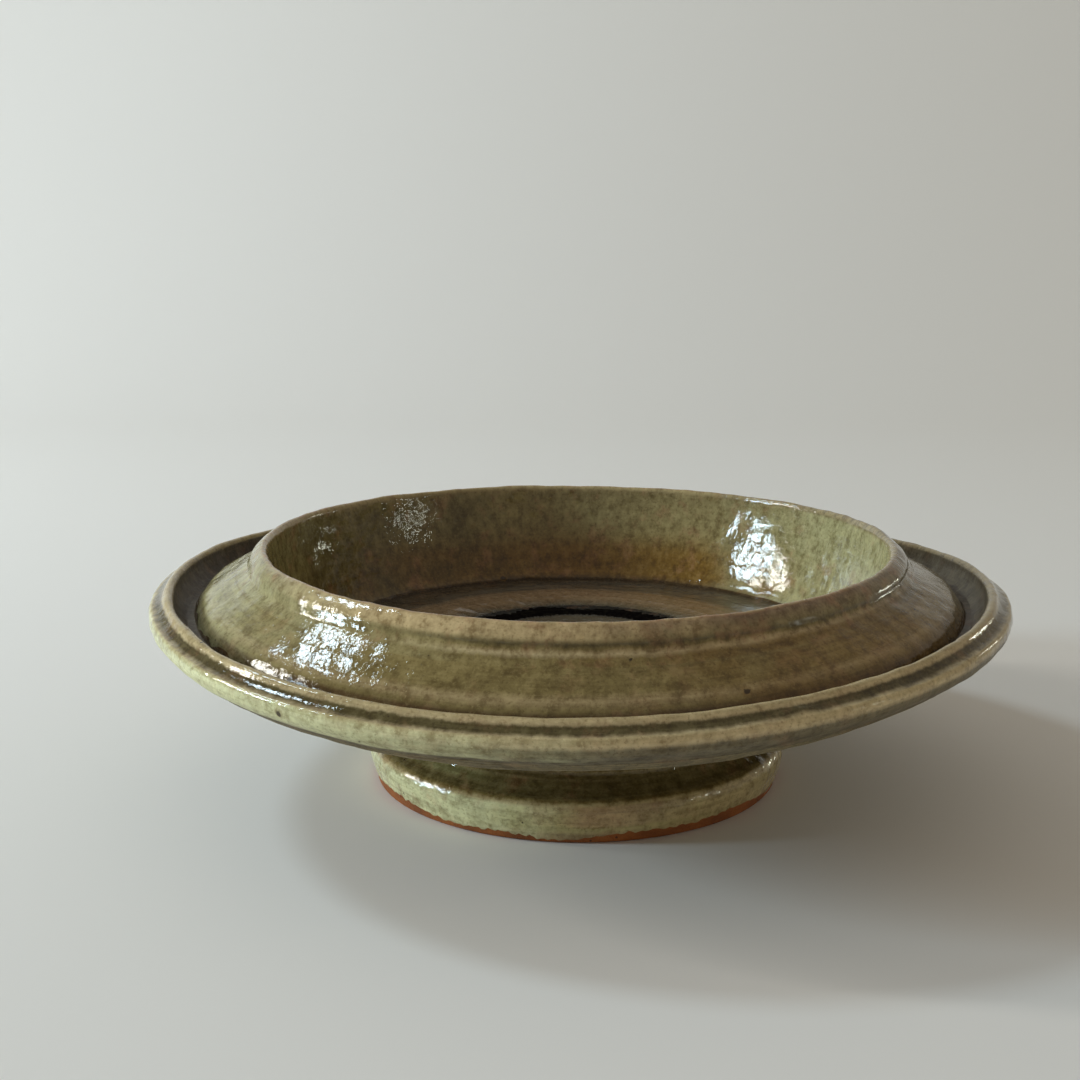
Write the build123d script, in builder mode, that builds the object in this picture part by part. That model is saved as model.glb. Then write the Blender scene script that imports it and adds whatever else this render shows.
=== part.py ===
"""Ikebana suiban: a stoneware flower bowl with a wide flange, on a foot ring, all about +Z.

The finished section of the vessel is drawn once. The clay is that section drawn in by the glaze, the slip
joints cut the clay into its members, and the glaze coats are what is left between clay and finished surface.
Millimetres, +Z up, origin in the middle of the foot's base.
"""

import os

from build123d import *

# Foot ring, from the floor up to its joint under the bowl
foot_radius = 61.2
foot_height = 33.5
foot_edge_round = 0.9
foot_bead_flare = 2.4
foot_bead_height = 12.6
foot_bead_round = 2.2
shoulder_step = 5.0
shoulder_rise = 0.7
waist_depth = 6.2
waist_height = 22.0
foot_top_step = 1.7
foot_base_wall = 8.7
foot_waist_wall = 7.0
foot_bore_waist_height = 18.0
foot_top_wall = 8.5

# Bowl: floor, inner wall, rim and the collar outside it
mouth_radius = 93.0
bowl_depth = 34.0
floor_thickness = 5.7
floor_corner_step = 9.5
floor_corner_round = 8.0
floor_crest_radius = 54.0
floor_crest_rise = 2.3
floor_crest_round = 60.0
floor_dip_depth = 1.7
rim_thickness = 5.6
rim_band = 3.6
rim_band_flare = 0.6
collar_flare_radius = 20.0

# Flange: gutter, lip and underside
gutter_spread = 17.2
gutter_drop = 21.0
gutter_side_radius = 9.0
lip_crest_spread = 7.5
lip_crest_height = 8.0
lip_crest_width = 3.0
lip_crest_rise = 1.2
lip_groove_radius = 6.0
lip_ridge_spread = 4.8
lip_ridge_drop = 3.6
lip_widest_spread = 5.5
lip_widest_drop = 6.2
lip_edge_spread = 2.0
lip_edge_drop = 10.7
underside_radius = 132.0
belly_spread = 7.5
belly_round = 20.0

# Joints, coats and pools
flange_joint_step = 3.4
slip = 0.8
glaze = 0.8
bare_band = 3.0
gutter_pool_depth = 1.5
center_pool_depth = 0.9

# Foot radii that follow, and the line up the middle of its wall
foot_bead_radius = foot_radius + foot_bead_flare
shoulder_radius = foot_bead_radius - shoulder_step
shoulder_height = foot_bead_height + shoulder_rise
waist_radius = foot_radius - waist_depth
foot_top_radius = foot_radius - foot_top_step
foot_bore_radius = foot_radius - foot_base_wall
foot_bore_waist_radius = waist_radius - foot_waist_wall
foot_bore_top_radius = foot_top_radius - foot_top_wall
foot_base_middle = (foot_bore_radius + foot_radius) / 2
foot_waist_middle = (foot_bore_waist_radius + waist_radius) / 2
foot_waist_middle_height = (foot_bore_waist_height + waist_height) / 2
foot_top_middle = (foot_bore_top_radius + foot_top_radius) / 2

# Heights and radii of the bowl that follow
belly_height = foot_height + slip
corner_height = belly_height + floor_thickness
floor_crest_height = corner_height + floor_crest_rise
floor_dip_height = floor_crest_height - floor_dip_depth
floor_middle_height = (belly_height + floor_dip_height) / 2
rim_height = corner_height + bowl_depth
corner_radius = mouth_radius - floor_corner_step
rim_outer_radius = mouth_radius + rim_thickness
rim_crest_radius = mouth_radius + rim_thickness / 2
rim_spring_height = rim_height - rim_thickness / 2
band_foot_radius = rim_outer_radius + rim_band_flare
band_foot_height = rim_spring_height - rim_band
bowl_outer_radius = rim_outer_radius + flange_joint_step
flange_bore_radius = bowl_outer_radius + slip

# Heights and radii of the flange that follow
gutter_radius = rim_outer_radius + gutter_spread
gutter_height = rim_height - gutter_drop
lip_crest_radius = gutter_radius + lip_crest_spread
lip_crest_level = gutter_height + lip_crest_height
lip_crest_inner_radius = lip_crest_radius - lip_crest_width / 2
lip_crest_outer_radius = lip_crest_radius + lip_crest_width / 2
lip_crest_foot_level = lip_crest_level - lip_crest_rise
lip_ridge_radius = lip_crest_radius + lip_ridge_spread
lip_ridge_level = lip_crest_level - lip_ridge_drop
lip_widest_radius = lip_crest_radius + lip_widest_spread
lip_widest_level = lip_crest_level - lip_widest_drop
lip_edge_radius = lip_crest_radius + lip_edge_spread
lip_edge_level = lip_crest_level - lip_edge_drop
belly_radius = corner_radius + belly_spread
beyond = 2 * lip_widest_radius


def nearest_corner(sketch: BuildSketch, radius: float, height: float) -> Vertex:
    """The corner of a section that lies nearest to a radius and a height."""
    return sketch.vertices().sort_by_distance((radius, height))[0]


# Finished section, from the axis out under the foot, up over the lip and rim and back along the floor
with BuildSketch() as vessel_section:
    with BuildLine():
        Line((0, belly_height), (foot_bore_top_radius, belly_height))
        ThreePointArc(
            (foot_bore_top_radius, belly_height),
            (foot_bore_waist_radius, foot_bore_waist_height),
            (foot_bore_radius, 0),
        )
        Line((foot_bore_radius, 0), (foot_radius, 0))
        Line((foot_radius, 0), (foot_bead_radius, foot_bead_height))
        Line((foot_bead_radius, foot_bead_height), (shoulder_radius, shoulder_height))
        ThreePointArc(
            (shoulder_radius, shoulder_height),
            (waist_radius, waist_height),
            (foot_top_radius, belly_height),
        )
        Line((foot_top_radius, belly_height), (belly_radius, belly_height))
        RadiusArc((belly_radius, belly_height), (lip_edge_radius, lip_edge_level), -underside_radius)
        ThreePointArc(
            (lip_edge_radius, lip_edge_level),
            (lip_widest_radius, lip_widest_level),
            (lip_ridge_radius, lip_ridge_level),
        )
        RadiusArc(
            (lip_ridge_radius, lip_ridge_level),
            (lip_crest_outer_radius, lip_crest_foot_level),
            lip_groove_radius,
        )
        ThreePointArc(
            (lip_crest_outer_radius, lip_crest_foot_level),
            (lip_crest_radius, lip_crest_level),
            (lip_crest_inner_radius, lip_crest_foot_level),
        )
        RadiusArc(
            (lip_crest_inner_radius, lip_crest_foot_level),
            (gutter_radius, gutter_height),
            gutter_side_radius,
        )
        RadiusArc((gutter_radius, gutter_height), (band_foot_radius, band_foot_height), collar_flare_radius)
        Line((band_foot_radius, band_foot_height), (rim_outer_radius, rim_spring_height))
        ThreePointArc(
            (rim_outer_radius, rim_spring_height),
            (rim_crest_radius, rim_height),
            (mouth_radius, rim_spring_height),
        )
        Line((mouth_radius, rim_spring_height), (corner_radius, corner_height))
        Line((corner_radius, corner_height), (floor_crest_radius, floor_crest_height))
        TangentArc(
            (0, floor_dip_height),
            (floor_crest_radius, floor_crest_height),
            tangent=(1, 0),
        )
        Line((0, floor_dip_height), (0, belly_height))
    make_face()
    fillet(nearest_corner(vessel_section, foot_bead_radius, foot_bead_height), foot_bead_round)
    fillet(nearest_corner(vessel_section, belly_radius, belly_height), belly_round)
    fillet(nearest_corner(vessel_section, corner_radius, corner_height), floor_corner_round)
    fillet(nearest_corner(vessel_section, floor_crest_radius, floor_crest_height), floor_crest_round)

# The bare parts of the clay: the lowest band of the foot, its bore and the ceiling inside it
with BuildSketch() as bare_section:
    add(vessel_section.sketch)
    with BuildSketch(mode=Mode.INTERSECT):
        Rectangle(beyond, bare_band, align=Align.MIN)
        Polygon(
            (0, 0),
            (foot_base_middle, 0),
            (foot_waist_middle, foot_waist_middle_height),
            (foot_top_middle, belly_height),
            (foot_top_middle, floor_middle_height),
            (0, floor_middle_height),
            align=None,
        )

# The clay: the section drawn in by one glaze coat, with the bare parts at their full size
with BuildSketch() as clay_section:
    add(vessel_section.sketch)
    mirror(about=Plane.YZ)
    offset(amount=-glaze)
    Rectangle(beyond, beyond, align=(Align.MIN, Align.CENTER), mode=Mode.INTERSECT)
    add(bare_section.sketch)

# The glaze: all that lies between the clay and the finished surface
with BuildSketch() as glaze_section:
    add(vessel_section.sketch)
    add(clay_section.sketch, mode=Mode.SUBTRACT)

# The coats inside the flange joint: the one over floor and rim, and the one under the bowl and on the foot
with BuildSketch() as inner_coats:
    add(glaze_section.sketch)
    Rectangle(flange_bore_radius, beyond, align=Align.MIN, mode=Mode.INTERSECT)
upper_coat = inner_coats.faces().sort_by(Axis.Y)[-1]
lower_coat = inner_coats.faces().sort_by(Axis.Y)[0]

# The clay bowl: floor, upright wall and rim, inside the flange joint and above the foot joint
with BuildPart() as bowl:
    with BuildSketch(Plane.XZ):
        add(clay_section.sketch)
        with Locations((0, belly_height)):
            Rectangle(bowl_outer_radius, beyond, align=Align.MIN, mode=Mode.INTERSECT)
    revolve(axis=Axis.Z)

# The slip that lutes the flange round the bowl's wall
with BuildPart() as flange_slip:
    with BuildSketch(Plane.XZ):
        add(clay_section.sketch)
        with Locations((bowl_outer_radius, 0)):
            Rectangle(slip, beyond, align=Align.MIN, mode=Mode.INTERSECT)
    revolve(axis=Axis.Z)

# The clay flange: root, gutter and lip
with BuildPart() as flange_ring:
    with BuildSketch(Plane.XZ):
        add(clay_section.sketch)
        with Locations((flange_bore_radius, 0)):
            Rectangle(beyond, beyond, align=Align.MIN, mode=Mode.INTERSECT)
    revolve(axis=Axis.Z)

# The clay foot ring, up to its joint under the floor, with both edges of its base wiped round
with BuildPart() as foot_ring:
    with BuildSketch(Plane.XZ):
        add(clay_section.sketch)
        Rectangle(beyond, foot_height, align=Align.MIN, mode=Mode.INTERSECT)
    revolve(axis=Axis.Z)
    fillet(foot_ring.faces().sort_by(Axis.Z)[0].edges().filter_by(GeomType.CIRCLE), foot_edge_round)

# The slip that lutes the foot ring to the floor
with BuildPart() as foot_slip:
    with BuildSketch(Plane.XZ):
        add(clay_section.sketch)
        with Locations((0, foot_height)):
            Rectangle(beyond, slip, align=Align.MIN, mode=Mode.INTERSECT)
    revolve(axis=Axis.Z)

# The coat on the inner wall, over the rim and down the collar to the flange joint
with BuildPart() as rim_glaze:
    with BuildSketch(Plane.XZ):
        add(upper_coat)
        with Locations((corner_radius, 0)):
            Rectangle(beyond, beyond, align=Align.MIN, mode=Mode.INTERSECT)
    revolve(axis=Axis.Z)

# The coat on the floor, out to the corner below the wall
with BuildPart() as floor_glaze:
    with BuildSketch(Plane.XZ):
        add(upper_coat)
        Rectangle(corner_radius, beyond, align=Align.MIN, mode=Mode.INTERSECT)
    revolve(axis=Axis.Z)

# The coat on the flange: flare, gutter, lip and underside
with BuildPart() as flange_glaze:
    with BuildSketch(Plane.XZ):
        add(glaze_section.sketch)
        with Locations((flange_bore_radius, 0)):
            Rectangle(beyond, beyond, align=Align.MIN, mode=Mode.INTERSECT)
    revolve(axis=Axis.Z)

# The coat under the bowl, between the foot and the flange
with BuildPart() as belly_glaze:
    with BuildSketch(Plane.XZ):
        add(lower_coat)
        with Locations((0, foot_height)):
            Rectangle(beyond, beyond, align=Align.MIN, mode=Mode.INTERSECT)
    revolve(axis=Axis.Z)

# The coat on the outside of the foot, down to the bare band
with BuildPart() as foot_glaze:
    with BuildSketch(Plane.XZ):
        add(lower_coat)
        Rectangle(beyond, foot_height, align=Align.MIN, mode=Mode.INTERSECT)
    revolve(axis=Axis.Z)

# Glaze that ran down the collar and set level in the gutter
with BuildPart() as gutter_pool:
    with BuildSketch(Plane.XZ):
        with Locations((flange_bore_radius, gutter_height - glaze)):
            Rectangle(
                lip_crest_radius - flange_bore_radius,
                gutter_pool_depth + glaze,
                align=Align.MIN,
            )
        add(vessel_section.sketch, mode=Mode.SUBTRACT)
    revolve(axis=Axis.Z)

# Dark glaze that set level in the dip of the floor
with BuildPart() as center_pool:
    with BuildSketch(Plane.XZ):
        with Locations((0, floor_dip_height - glaze)):
            Rectangle(floor_crest_radius, center_pool_depth + glaze, align=Align.MIN)
        add(vessel_section.sketch, mode=Mode.SUBTRACT)
    revolve(axis=Axis.Z)

pieces = {
    "bowl": bowl,
    "flange_ring": flange_ring,
    "foot_ring": foot_ring,
    "flange_slip": flange_slip,
    "foot_slip": foot_slip,
    "rim_glaze": rim_glaze,
    "floor_glaze": floor_glaze,
    "flange_glaze": flange_glaze,
    "belly_glaze": belly_glaze,
    "foot_glaze": foot_glaze,
    "gutter_pool": gutter_pool,
    "center_pool": center_pool,
}

os.makedirs("parts", exist_ok=True)
for name, piece in pieces.items():
    piece.part.label = name
    export_step(piece.part, f"parts/{name}.step")
    print(name, round(piece.part.volume), "mm3", piece.part.bounding_box().size)
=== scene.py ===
"""Ikebana suiban: a thrown stoneware bowl with a guttered flange and a waisted foot, in olive ash glaze."""

import logging
import math
from dataclasses import dataclass, field, replace
from enum import Enum

import bpy
import numpy as np
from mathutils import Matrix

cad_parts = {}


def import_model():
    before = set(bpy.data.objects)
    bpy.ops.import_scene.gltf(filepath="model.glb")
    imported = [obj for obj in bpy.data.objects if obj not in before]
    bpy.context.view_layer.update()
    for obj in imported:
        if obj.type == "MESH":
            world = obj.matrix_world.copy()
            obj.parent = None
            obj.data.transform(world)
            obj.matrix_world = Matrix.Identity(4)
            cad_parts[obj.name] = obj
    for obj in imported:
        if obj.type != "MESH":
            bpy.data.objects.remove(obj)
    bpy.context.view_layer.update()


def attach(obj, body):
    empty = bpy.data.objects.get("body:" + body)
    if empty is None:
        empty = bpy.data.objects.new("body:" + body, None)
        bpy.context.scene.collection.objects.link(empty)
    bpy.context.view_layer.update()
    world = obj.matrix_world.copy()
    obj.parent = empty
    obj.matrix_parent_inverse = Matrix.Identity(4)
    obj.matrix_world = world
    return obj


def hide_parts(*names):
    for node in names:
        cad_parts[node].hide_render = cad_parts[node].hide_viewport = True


log = logging.getLogger("suiban")

MM = 0.001
Point = tuple[float, float]
Triple = tuple[float, float, float]
Colour = Triple
Grid = np.ndarray
Grids = tuple[Grid, Grid]
Item = bpy.types.Object
Material = bpy.types.Material
Socket = bpy.types.NodeSocket
Feed = Socket | float | tuple[float, ...]
Feeds = dict[str | int, Feed]


class Mark(Enum):
    """Places along the skin, from the foot's base over the lip and the rim to the middle of the floor."""

    BASE = "base edge"
    FOOT_BAND = "band of the foot under its bead"
    BEAD = "bead of the foot"
    SHOULDER = "shoulder over the bead"
    WAIST = "waist of the foot"
    FOOT_TOP = "top of the foot"
    BELLY = "end of the flat belly"
    UNDER_JOINT = "joint of bowl and flange, below"
    LIP_EDGE = "lower edge of the lip"
    LIP_RIDGE = "lower ridge of the lip"
    LIP_GROOVE = "groove between the ridges of the lip"
    LIP_CREST = "crest of the lip"
    GUTTER = "bottom of the gutter"
    COLLAR_JOINT = "joint of bowl and flange, above"
    COLLAR_RIDGE = "ridge where the collar meets the rim band"
    RIM_BAND = "rim band over its dark line"
    RIM = "crest of the rim"
    MOUTH = "inner edge of the rim"
    WALL_MIDDLE = "half-way down the inner wall"
    WALL_FOOT = "corner of wall and floor"
    FLOOR_CREST = "low swell of the floor"
    MIDDLE = "middle of the floor"


class Slot(Enum):
    """Material slots of the record."""

    CLAY = "clay"
    SLIP = "slip"
    ASH_GLAZE = "ash_glaze"
    POOLED_GLAZE = "pooled_glaze"
    DARK_GLAZE = "dark_glaze"


class Blend(Enum):
    """Ways in which two colours are mixed."""

    MIX = "MIX"
    MULTIPLY = "MULTIPLY"
    ADD = "ADD"


class Tone(Enum):
    """Colours that the ash glaze fires to, as linear red, green and blue; some also serve as painted light,
    painted shade and painted reflection.
    """

    CREAM = (0.48, 0.385, 0.195)
    HONEY = (0.64, 0.48, 0.25)
    SAND = (0.54, 0.43, 0.24)
    TAN = (0.37, 0.275, 0.135)
    PALE_GREEN = (0.40, 0.385, 0.20)
    YELLOW_GREEN = (0.47, 0.42, 0.17)
    # Pale green brightened to serve as a painted highlight on the left of the foot band and the lip.
    LIT_CELADON = (0.66, 0.66, 0.38)
    MOSS = (0.29, 0.235, 0.10)
    OLIVE = (0.22, 0.163, 0.056)
    DARK_OLIVE = (0.125, 0.095, 0.033)
    UMBER = (0.08, 0.06, 0.018)
    BROWN = (0.20, 0.105, 0.014)
    DARK_BROWN = (0.09, 0.048, 0.012)
    DUN = (0.215, 0.14, 0.08)
    GREY_OLIVE = (0.24, 0.19, 0.085)
    GREY_GREEN = (0.25, 0.235, 0.10)
    GREY_LILAC = (0.145, 0.12, 0.072)
    VIOLET_GREY = (0.064, 0.045, 0.029)
    GREY_TEAL = (0.085, 0.072, 0.055)
    MAUVE = (0.16, 0.13, 0.075)
    BLUSH = (0.33, 0.16, 0.08)
    RUST = (0.20, 0.075, 0.02)
    IRON = (0.03, 0.016, 0.007)
    BLACK = (0.004, 0.003, 0.003)


def smooth(low: float, high: float, value: Grid) -> Grid:
    """An even rise from 0 at low to 1 at high."""
    share = np.clip((value - low) / (high - low), 0.0, 1.0)
    return share * share * (3.0 - 2.0 * share)


@dataclass(frozen=True)
class Section:
    """Points of the finished section as (radius from the axis, height over the table), in millimetres."""

    base_edge: Point = (61.9, 0.0)
    bead: Point = (65.6, 12.3)
    shoulder: Point = (58.6, 14.2)
    waist: Point = (55.0, 22.0)
    foot_top: Point = (59.5, 34.3)
    belly: Point = (91.0, 34.3)
    lip_edge: Point = (125.3, 50.3)
    lip_widest: Point = (128.8, 54.8)
    lip_ridge: Point = (128.1, 57.4)
    crest_outside: Point = (124.5, 59.7)
    crest: Point = (123.0, 61.0)
    crest_inside: Point = (121.2, 59.9)
    gutter: Point = (115.8, 53.0)
    collar: Point = (110.2, 60.2)
    band_foot: Point = (99.5, 66.9)
    rim: Point = (95.0, 73.38)
    mouth: Point = (93.0, 71.7)
    wall_foot: Point = (83.5, 40.0)
    floor_crest: Point = (54.0, 42.3)
    floor_dip: Point = (27.0, 41.03)
    middle: Point = (0.0, 40.6)
    underside_radius: float = 132.0
    groove_radius: float = 4.2
    gutter_side_radius: float = 9.0
    collar_radius: float = 12.0
    band_radius: float = 8.6
    rim_radius: float = 1.8
    wall_radius: float = 104.0
    joint_radius: float = 102.8
    bore_base: Point = (52.5, 0.0)
    bore_waist: Point = (48.0, 18.0)
    bore_top: Point = (51.0, 34.3)
    foot_band: float = 7.5
    crest_width: float = 2.3
    rim_band: float = 3.0
    coat: float = 0.8
    slip: float = 0.8


class Outline:
    """A line drawn piece by piece in the plane of radius and height, in millimetres."""

    PITCH = 0.2

    def __init__(self, start: Point) -> None:
        """Starts the line.

        Args:
            start: first point of the line.
        """
        self.points: list[Grid] = [np.array([start], float)]
        self.length = 0.0
        self.marks: dict[Mark, float] = {}

    def _add(self, points: Grid, name: Mark | None) -> None:
        """Appends points and keeps count of the length.

        Args:
            points: the points that follow.
            name: name of the line's new end.
        """
        steps = np.diff(np.vstack([self.points[-1][-1:], points]), axis=0)
        self.length += float(np.hypot(*steps.T).sum())
        self.points.append(points)
        if name is not None:
            self.marks[name] = self.length

    def line(self, end: Point, name: Mark | None = None) -> None:
        """Goes straight to a point.

        Args:
            end: the point.
            name: name of that end.
        """
        start = self.points[-1][-1]
        step = np.array(end) - start
        count = max(2, int(np.hypot(*step) / self.PITCH))
        self._add(start + np.linspace(0.0, 1.0, count + 1)[1:, None] * step, name)

    def arc(self, end: Point, radius: float, name: Mark | None = None) -> None:
        """Goes to a point along an arc.

        Args:
            end: last point of the arc.
            radius: radius of the arc, above zero where the line turns left and below where it turns right.
            name: name of that end.
        """
        start = self.points[-1][-1]
        chord = np.array(end) - start
        span = float(np.hypot(*chord))
        left = np.array([-chord[1], chord[0]]) / span
        rise = math.sqrt(max(radius * radius - span * span / 4.0, 0.0))
        center = start + chord / 2.0 + left * math.copysign(rise, radius)
        half = math.asin(min(1.0, span / 2.0 / abs(radius)))
        first = math.atan2(*(start - center)[::-1])
        count = max(3, int(2.0 * half * abs(radius) / self.PITCH))
        angles = first + math.copysign(1.0, radius) * np.linspace(0.0, 2.0 * half, count + 1)[1:]
        self._add(center + abs(radius) * np.stack([np.cos(angles), np.sin(angles)], 1), name)

    def through(self, middle: Point, end: Point, name: Mark | None = None) -> None:
        """Goes to a point along the arc through another point.

        Args:
            middle: point on the way.
            end: last point of the arc.
            name: name of that end.
        """
        a, b, c = self.points[-1][-1], np.array(middle, float), np.array(end, float)
        cross = (b - a)[0] * (c - a)[1] - (b - a)[1] * (c - a)[0]
        sides = np.hypot(*(b - a)) * np.hypot(*(c - b)) * np.hypot(*(c - a))
        radius = math.copysign(sides / (2.0 * abs(cross)), cross)
        self.arc(tuple(b), radius)
        self.arc(tuple(c), radius, name)

    def line_points(self) -> Grid:
        """All the points of the line, in order."""
        return np.vstack(self.points)


class Skin:
    """The vessel's outside in section, softened at its corners as a melted glaze is."""

    STEP = 0.2
    PAD = 12.0
    SOFTNESS = 0.4
    SOFT_REACH = 2.5
    BEND_STEPS = 5
    SOFTER = {
        Mark.BEAD: 3.8,
        Mark.SHOULDER: 3.0,
        Mark.FOOT_TOP: 1.4,
        Mark.BELLY: 1.7,
        Mark.LIP_EDGE: 2.0,
        Mark.GUTTER: 0.9,
        Mark.WALL_FOOT: 3.4,
        Mark.FLOOR_CREST: 3.0,
    }

    def __init__(self, section: Section) -> None:
        """Draws the section and softens it.

        Args:
            section: the points and radii of the finished section.
        """
        drawn = self._draw(section)
        raw = drawn.line_points()
        steps = np.hypot(*np.diff(raw, axis=0).T)
        distance = np.concatenate([[0.0], np.cumsum(steps)])
        self.marks = drawn.marks
        self.length = float(distance[-1])
        self.along = np.arange(0.0, self.length, self.STEP)
        self.radius, self.height = self._soften(
            np.interp(self.along, distance, raw[:, 0]), np.interp(self.along, distance, raw[:, 1])
        )
        self.marks[Mark.UNDER_JOINT] = self._where(section.joint_radius, Mark.BELLY, Mark.LIP_EDGE)
        self.marks[Mark.COLLAR_JOINT] = self._where(section.joint_radius, Mark.GUTTER, Mark.COLLAR_RIDGE)
        run, rise = np.gradient(self.radius, self.STEP), np.gradient(self.height, self.STEP)
        size = np.hypot(run, rise)
        self.normal = np.stack([rise / size, -run / size], 1)
        bend = np.gradient(np.unwrap(np.arctan2(rise, run)), self.STEP)
        self.bend = np.convolve(bend, np.ones(self.BEND_STEPS) / self.BEND_STEPS, mode="same")

    @staticmethod
    def _draw(section: Section) -> Outline:
        """The section as a line from the foot's base edge to the axis.

        Args:
            section: the points and radii of the finished section.

        Returns:
            The line, with its marks.
        """
        line = Outline(section.base_edge)
        marks = line.marks
        marks[Mark.BASE] = 0.0
        line.line(section.bead, Mark.BEAD)
        line.line(section.shoulder, Mark.SHOULDER)
        line.through(section.waist, section.foot_top, Mark.FOOT_TOP)
        line.line(section.belly, Mark.BELLY)
        line.arc(section.lip_edge, section.underside_radius, Mark.LIP_EDGE)
        line.through(section.lip_widest, section.lip_ridge, Mark.LIP_RIDGE)
        line.arc(section.crest_outside, -section.groove_radius)
        marks[Mark.LIP_GROOVE] = (marks[Mark.LIP_RIDGE] + line.length) / 2.0
        line.through(section.crest, section.crest_inside)
        marks[Mark.LIP_CREST] = line.length - section.crest_width
        line.arc(section.gutter, -section.gutter_side_radius, Mark.GUTTER)
        line.arc(section.collar, section.collar_radius)
        line.line(section.band_foot, Mark.COLLAR_RIDGE)
        line.arc(section.rim, section.band_radius, Mark.RIM)
        line.arc(section.mouth, section.rim_radius, Mark.MOUTH)
        line.arc(section.wall_foot, -section.wall_radius, Mark.WALL_FOOT)
        line.line(section.floor_crest, Mark.FLOOR_CREST)
        line.through(section.floor_dip, section.middle, Mark.MIDDLE)
        marks[Mark.FOOT_BAND] = marks[Mark.BEAD] - section.foot_band
        marks[Mark.RIM_BAND] = marks[Mark.COLLAR_RIDGE] + section.rim_band
        marks[Mark.WAIST] = (marks[Mark.SHOULDER] + marks[Mark.FOOT_TOP]) / 2.0
        marks[Mark.WALL_MIDDLE] = (marks[Mark.MOUTH] + marks[Mark.WALL_FOOT]) / 2.0
        return line

    def _soften(self, radius: Grid, height: Grid) -> Grids:
        """Rounds the corners of the line, each by its own softness.

        Args:
            radius: radius of each point.
            height: height of each point.

        Returns:
            The radius and the height of each point of the softened line.
        """
        pad = int(self.PAD / self.STEP)
        longer = np.arange(-pad, len(self.along) + pad) * self.STEP
        ends = [np.pad(values, pad, mode="reflect", reflect_type="odd") for values in (radius, height)]
        ends[1][-pad:] = height[-pad - 1:-1][::-1]
        spread = np.full(len(self.along), self.SOFTNESS)
        for name, soft in self.SOFTER.items():
            near = np.exp(-(((self.along - self.marks[name]) / (self.SOFT_REACH * soft)) ** 2))
            spread = np.maximum(spread, self.SOFTNESS + (soft - self.SOFTNESS) * near)
        weight = np.exp(-0.5 * ((self.along[:, None] - longer[None, :]) / spread[:, None]) ** 2)
        weight /= weight.sum(1, keepdims=True)
        return weight @ ends[0], weight @ ends[1]

    def _where(self, radius: float, first: Mark, last: Mark) -> float:
        """Finds where the skin crosses a radius.

        Args:
            radius: the radius.
            first: mark from which to look.
            last: mark up to which to look.

        Returns:
            The distance along the skin, in millimetres.
        """
        inside = (self.along >= self.marks[first]) & (self.along <= self.marks[last])
        along = self.along[inside]
        return float(along[np.argmin(np.abs(self.radius[inside] - radius))])

    def at(self, name: Mark, offset: float = 0.0) -> float:
        """Distance along the skin of a mark, in millimetres, plus an offset."""
        return self.marks[name] + offset

    def read(self, values: Grid, along: Grid) -> Grid:
        """Values kept for the skin, read off at other distances along it."""
        return np.interp(along, self.along, values)


@dataclass(frozen=True)
class Ripple:
    """Unevenness of the surface: seeded waves that close up round the axis."""

    seed: int
    height: float
    fewest: int
    most: int
    length: float
    count: int = 26

    def at(self, along: Grid, turn: Grid) -> Grid:
        """Height of the waves.

        Args:
            along: distance along the skin, in millimetres.
            turn: angle round the axis, in radians.

        Returns:
            The height in millimetres for each place.
        """
        dice = np.random.default_rng(self.seed)
        total = np.zeros(np.broadcast(along, turn).shape)
        for _ in range(self.count):
            waves = int(dice.integers(self.fewest, self.most + 1))
            pull = dice.uniform(-1.0, 1.0) * 2.0 * math.pi / self.length
            total += np.cos(waves * turn + pull * along + dice.uniform(0.0, 2.0 * math.pi))
        return self.height * total / math.sqrt(self.count / 2.0)


@dataclass(frozen=True)
class ThrowingRings:
    """A run of spiral ridges left by the thrower's fingers."""

    first: Mark
    first_offset: float
    last: Mark
    last_offset: float
    spacing: float
    height: float
    bare: float = 0.0
    fade: float = 3.0
    waver: float = 0.7
    waver_pull: float = 0.9
    sway: float = 0.5
    sway_waves: int = 3

    def ridge(self, skin: Skin, along: Grid, turn: Grid) -> Grid:
        """Share of the full ridge height at each place, from 0 in the furrows to 1 on the ridges.

        Args:
            skin: the vessel's skin.
            along: distance along the skin, in millimetres.
            turn: angle round the axis, in radians.

        Returns:
            The share for each place.
        """
        low, high = skin.at(self.first, self.first_offset), skin.at(self.last, self.last_offset)
        inside = smooth(low, low + self.fade, along) * smooth(-high, -high + self.fade, -along)
        phase = 2.0 * math.pi * along / self.spacing + turn
        phase = phase + self.waver * np.sin(along * self.waver_pull)
        phase = phase + self.sway * np.sin(self.sway_waves * turn)
        return inside * (0.5 + 0.5 * np.cos(phase)) ** 2


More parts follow.
